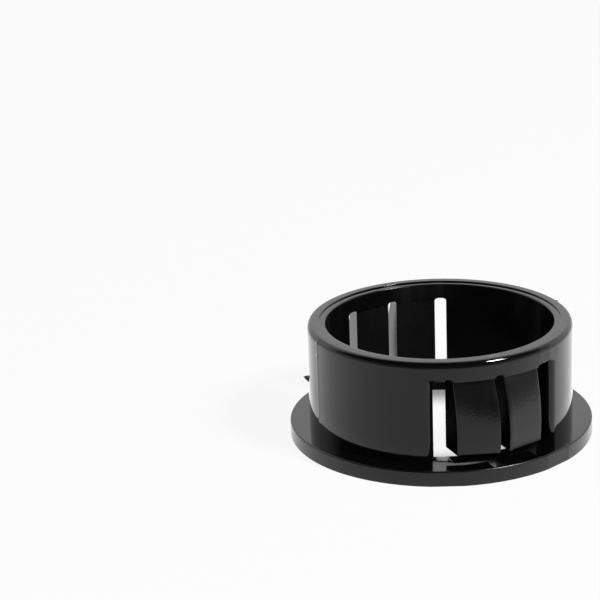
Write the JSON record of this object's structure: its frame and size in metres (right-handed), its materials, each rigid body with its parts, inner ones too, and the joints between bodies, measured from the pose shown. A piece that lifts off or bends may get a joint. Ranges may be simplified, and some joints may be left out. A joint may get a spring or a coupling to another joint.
{
  "type": "snap bushing",
  "caption": "Glossy black moulded sleeve with a thin flange, a rounded rim and slit-sided locking fingers; it snaps into a round panel hole and protects the cables that pass through.",
  "frame": {"origin": "centre of the flange's outer face, on the bore axis; the part stands on this face", "axes": "+Z along the bore axis from the flange to the rim; the finger groups face -Y and +Y; the mould's parting lines lie at -X and +X"},
  "size_m": [0.0426, 0.0424, 0.0164],
  "materials": {
    "black_nylon": "glossy as moulded"
  },
  "bodies": {
    "root": {"bushing": "black_nylon"}
  },
  "joints": []
}
